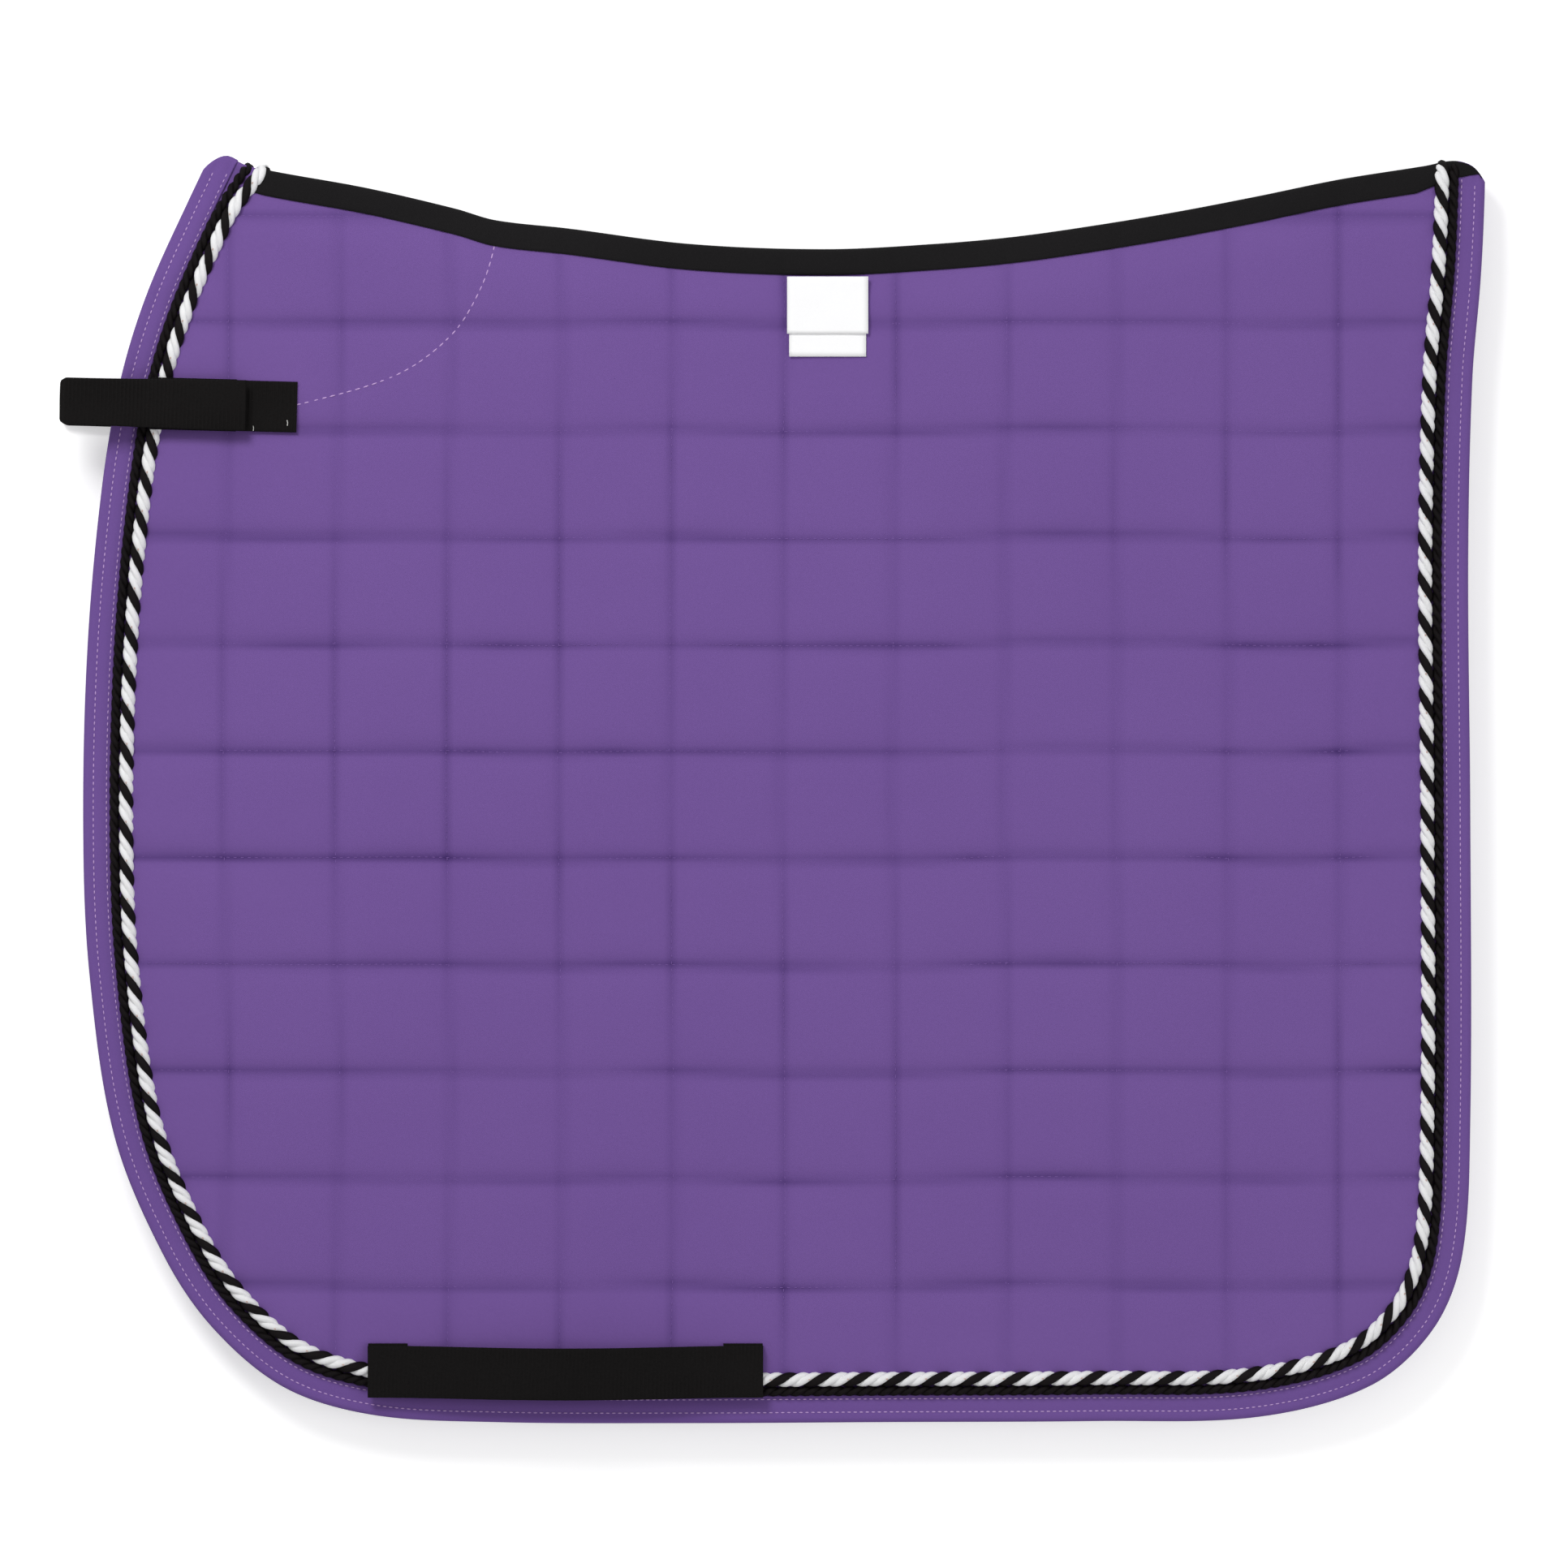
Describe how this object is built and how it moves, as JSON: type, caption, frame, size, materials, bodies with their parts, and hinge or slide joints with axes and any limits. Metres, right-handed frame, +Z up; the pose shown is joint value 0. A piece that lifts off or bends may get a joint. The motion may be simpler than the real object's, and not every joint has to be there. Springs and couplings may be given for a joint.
{
  "type": "saddle pad",
  "caption": "Quilted dressage saddle pad folded at the spine, with corded edge, hook-and-loop billet straps and sewn girth loops.",
  "frame": {"origin": "centre of the footprint, on the surface that the pad lies on", "axes": "+X from the front (withers) edge to the rear edge, +Y towards the spine, +Z up through the folded thickness"},
  "size_m": [0.6852, 0.6096, 0.0418],
  "materials": {
    "cover": "matte quilted twill, purple",
    "padding": "wadding, off-white",
    "lining": "matte quilted cotton, purple",
    "edge_band": "smooth woven band, purple, stitched twice",
    "twisted_cord": "white metallic and black twisted cord",
    "black_cord": "black twisted cord",
    "spine_tape": "black matte webbing tape",
    "webbing": "black woven webbing, ribbed",
    "fastener": "black hook and loop tape",
    "label": "white satin, bare"
  },
  "bodies": {
    "off_flap": {"off_cover": "cover", "off_padding": "padding", "off_lining": "lining", "off_binding": "edge_band", "off_wither_patch": "lining", "ridge_cover": "cover", "ridge_padding": "padding", "ridge_lining": "lining", "ridge_binding": "edge_band", "ridge_wither_patch": "lining", "off_twisted_cord": "twisted_cord", "off_black_cord": "black_cord", "off_girth_loop": "webbing", "off_strap_box": "webbing", "spine_binding": "spine_tape"},
    "near_flap": {"near_cover": "cover", "near_padding": "padding", "near_lining": "lining", "near_binding": "edge_band", "near_wither_patch": "lining", "near_twisted_cord": "twisted_cord", "near_black_cord": "black_cord", "near_girth_loop": "webbing", "near_strap_box": "webbing", "label": "label", "label_under": "label"},
    "near_strap": {"near_strap_webbing": "webbing", "near_hook_tape": "fastener"},
    "near_strap_end": {"near_strap_return": "webbing", "near_loop_tape": "fastener"},
    "off_strap": {"off_strap_webbing": "webbing", "off_hook_tape": "fastener"},
    "off_strap_end": {"off_strap_return": "webbing", "off_loop_tape": "fastener"}
  },
  "joints": [
    {"name": "near_flap_lift", "type": "hinge", "parent": "off_flap", "child": "near_flap", "pos_m": [0.00555, 0.24428, 0.0333], "axis": [-1, 0, 0], "range_deg": [0, 110]},
    {"name": "near_strap_lift", "type": "hinge", "parent": "near_flap", "child": "near_strap", "pos_m": [-0.25195, 0.18429, 0.0333], "axis": [0.0262, 0.9997, 0], "range_deg": [0, 120]},
    {"name": "near_strap_open", "type": "hinge", "parent": "near_strap", "child": "near_strap_end", "pos_m": [-0.34057, 0.18661, 0.0333], "axis": [-0.0262, -0.9997, 0], "range_deg": [0, 150]},
    {"name": "off_strap_lift", "type": "hinge", "parent": "off_flap", "child": "off_strap", "pos_m": [-0.25195, 0.18429, 0.0053], "axis": [-0.0262, -0.9997, 0], "range_deg": [0, 120]},
    {"name": "off_strap_open", "type": "hinge", "parent": "off_strap", "child": "off_strap_end", "pos_m": [-0.34057, 0.18661, 0.0053], "axis": [0.0262, 0.9997, 0], "range_deg": [0, 150]}
  ]
}
